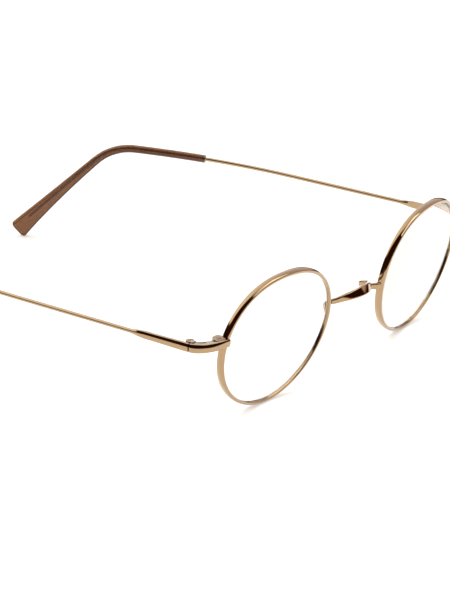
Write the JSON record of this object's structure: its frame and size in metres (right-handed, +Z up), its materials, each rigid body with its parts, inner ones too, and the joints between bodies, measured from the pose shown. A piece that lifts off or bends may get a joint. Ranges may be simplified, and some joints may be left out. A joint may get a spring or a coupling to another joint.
{
  "type": "wire-rimmed spectacles",
  "caption": "Slim gold wire spectacles with oval clear lenses, a bowed W bridge without nose pads, and folding temples with brown moulded tips.",
  "frame": {"origin": "on the ground under the middle of the box round the open spectacles", "axes": "+X towards the wearer's left, +Y backwards along the temples, +Z up; the lenses look along -Y"},
  "size_m": [0.1312, 0.1468, 0.0363],
  "materials": {
    "frame_gold": "polished rose-gold plating",
    "screw_gold": "plated, slightly darker",
    "clear_lens": "clear, polished",
    "brown_tip": "translucent brown, polished"
  },
  "bodies": {
    "front": {"bridge": "frame_gold", "left_rim": "frame_gold", "right_rim": "frame_gold", "left_lens": "clear_lens", "right_lens": "clear_lens", "left_upper_closing_block": "frame_gold", "right_upper_closing_block": "frame_gold", "left_lower_closing_block": "frame_gold", "right_lower_closing_block": "frame_gold", "left_closing_screw": "screw_gold", "right_closing_screw": "screw_gold", "left_end_piece": "frame_gold", "right_end_piece": "frame_gold", "left_front_hinge_leaf": "frame_gold", "right_front_hinge_leaf": "frame_gold", "left_hinge_screw": "screw_gold", "right_hinge_screw": "screw_gold"},
    "left_temple_arm": {"left_temple": "frame_gold", "left_temple_hinge_leaf": "frame_gold", "left_temple_tip": "brown_tip"},
    "right_temple_arm": {"right_temple": "frame_gold", "right_temple_hinge_leaf": "frame_gold", "right_temple_tip": "brown_tip"}
  },
  "joints": [
    {"name": "left_temple_fold", "type": "hinge", "parent": "front", "child": "left_temple_arm", "pos_m": [0.06333, -0.06168, 0.02343], "axis": [0, 0, 1], "range_deg": [0, 83]},
    {"name": "right_temple_fold", "type": "hinge", "parent": "front", "child": "right_temple_arm", "pos_m": [-0.06333, -0.06168, 0.02343], "axis": [0, 0, -1], "range_deg": [0, 78]}
  ]
}
